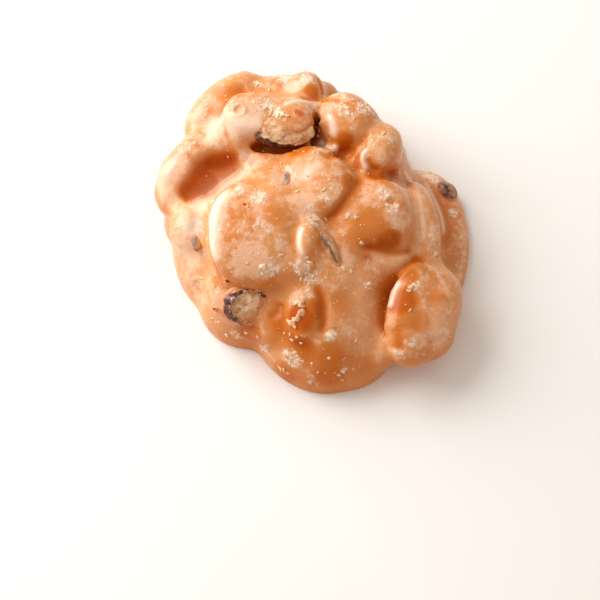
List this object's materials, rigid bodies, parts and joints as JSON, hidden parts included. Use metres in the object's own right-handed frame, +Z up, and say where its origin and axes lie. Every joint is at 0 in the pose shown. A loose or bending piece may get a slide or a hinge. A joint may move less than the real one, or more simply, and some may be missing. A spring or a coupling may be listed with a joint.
{
  "type": "peanut cluster",
  "caption": "A peanut cluster: roasted peanuts and raisins heaped in a thick peanut-coloured coating, set on a smooth flat base.",
  "frame": {"origin": "the middle of the flat base, on the surface that the cluster rests on", "axes": "+Z up from the base, +Y from the front of the cluster to its back, +X to its right"},
  "size_m": [0.06, 0.0628, 0.0216],
  "materials": {
    "coating": "satin",
    "raisin": "satin"
  },
  "bodies": {
    "root": {"peanut_cluster": "coating", "raisin_torn": "raisin", "raisin_under_ledge": "raisin", "raisin_wedge": "raisin", "raisin_left": "raisin", "raisin_saddle": "raisin", "raisin_flange": "raisin", "raisin_back": "raisin", "raisin_back_left": "raisin"}
  },
  "joints": []
}
